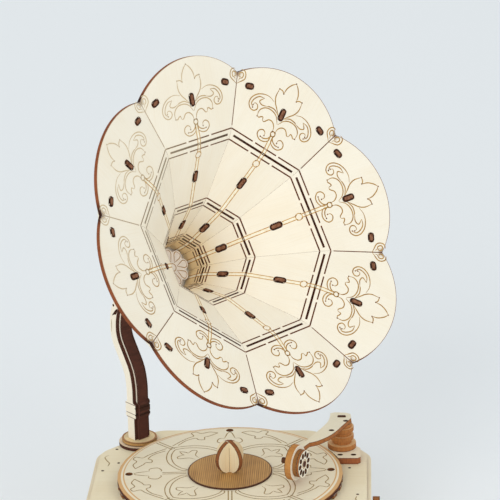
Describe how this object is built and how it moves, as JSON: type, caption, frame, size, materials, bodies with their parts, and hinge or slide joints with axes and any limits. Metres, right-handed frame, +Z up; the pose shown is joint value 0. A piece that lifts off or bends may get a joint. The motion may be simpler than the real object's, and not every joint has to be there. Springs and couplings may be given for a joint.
{
  "type": "disc music box",
  "caption": "Plywood disc music box shaped as a small horn gramophone: octagonal case, turning disc, swinging tonearm, side crank and a folded petal horn on a curved post.",
  "frame": {"origin": "centre of the case's underside, below the disc's spindle", "axes": "+Z up, +X towards the crank's side, -Y towards the front; the horn opens forwards, up and to the right"},
  "size_m": [0.1796, 0.1693, 0.2966],
  "materials": {
    "birch_face": "bare sanded plywood face",
    "birch_inner": "bare plywood, seen less",
    "burnt_edge": "plywood with laser browned edges",
    "dark_edge": "dark laser burnt plywood edges",
    "label_tan": "engraved tan face",
    "steel": "satin steel",
    "brass": "turned brass"
  },
  "bodies": {
    "case": {"base_floor": "birch_inner", "wall_right": "birch_face", "corner_panel_1": "birch_face", "wall_back": "birch_face", "corner_panel_2": "birch_face", "wall_left": "birch_face", "corner_panel_3": "birch_face", "wall_front": "birch_face", "corner_panel_4": "birch_face", "top_moulding": "birch_inner", "base_top": "birch_face", "foot_ring": "burnt_edge", "tonearm_bracket": "birch_face", "tonearm_column": "burnt_edge", "spindle_footstep": "birch_inner", "shaft_bush": "burnt_edge", "shaft_hanger": "birch_inner", "movement_frame": "steel", "comb": "steel"},
    "crank": {"crank_shaft": "brass", "crank_pinion": "birch_inner", "crank_arm": "burnt_edge", "knob_pin": "steel"},
    "knob": {"crank_knob": "birch_face"},
    "platter": {"platter_spindle": "steel", "peg_wheel": "birch_inner", "platter_rim": "burnt_edge", "platter_ring": "burnt_edge", "platter_disc": "birch_face", "label_disc": "label_tan", "finial_blade_1": "birch_face", "finial_blade_2": "birch_face"},
    "drum": {"music_drum": "brass"},
    "tonearm": {"tonearm_pin": "dark_edge", "tonearm_arm": "birch_face", "soundbox_body": "birch_inner", "soundbox_grille": "birch_face", "soundbox_axle": "dark_edge"},
    "horn": {"swivel_ring": "burnt_edge", "post_core": "dark_edge", "post_cheek_left": "birch_face", "post_cheek_right": "birch_face", "horn_hub": "birch_inner", "throat_rosette": "burnt_edge", "horn_leaf_1": "birch_face", "horn_leaf_2": "birch_face", "horn_leaf_3": "birch_face", "horn_leaf_4": "birch_face", "horn_leaf_5": "birch_face", "horn_leaf_6": "birch_face", "horn_leaf_7": "birch_face", "horn_leaf_8": "birch_face", "horn_rib_1": "birch_inner", "horn_rib_2": "birch_inner", "horn_rib_3": "birch_inner", "horn_rib_4": "birch_inner", "horn_rib_5": "birch_inner", "horn_rib_6": "birch_inner", "horn_rib_7": "birch_inner", "horn_rib_8": "birch_inner"}
  },
  "joints": [
    {"name": "crank_turn", "type": "hinge", "parent": "case", "child": "crank", "pos_m": [0.08, 0, 0.0337], "axis": [1, 0, 0], "continuous": true},
    {"name": "knob_spin", "type": "hinge", "parent": "crank", "child": "knob", "pos_m": [0.09, 0, 0.0117], "axis": [1, 0, 0], "continuous": true},
    {"name": "platter_turn", "type": "hinge", "parent": "case", "child": "platter", "pos_m": [0, 0, 0.0577], "axis": [0, 0, 1], "continuous": true},
    {"name": "drum_turn", "type": "hinge", "parent": "case", "child": "drum", "pos_m": [0.051, 0, 0.0233], "axis": [0, 1, 0], "continuous": true},
    {"name": "tonearm_swing", "type": "hinge", "parent": "case", "child": "tonearm", "pos_m": [0.0628, 0.0384, 0.06], "axis": [0, 0, 1], "range_deg": [-18, 35]},
    {"name": "horn_swivel", "type": "hinge", "parent": "case", "child": "horn", "pos_m": [-0.05587, 0.05157, 0.055], "axis": [0, 0, 1], "range_deg": [-40, 40]}
  ],
  "couplings": [
    {"joint": "crank_turn", "follows": "platter_turn", "ratio": 2},
    {"joint": "drum_turn", "follows": "platter_turn", "ratio": -0.083333}
  ]
}
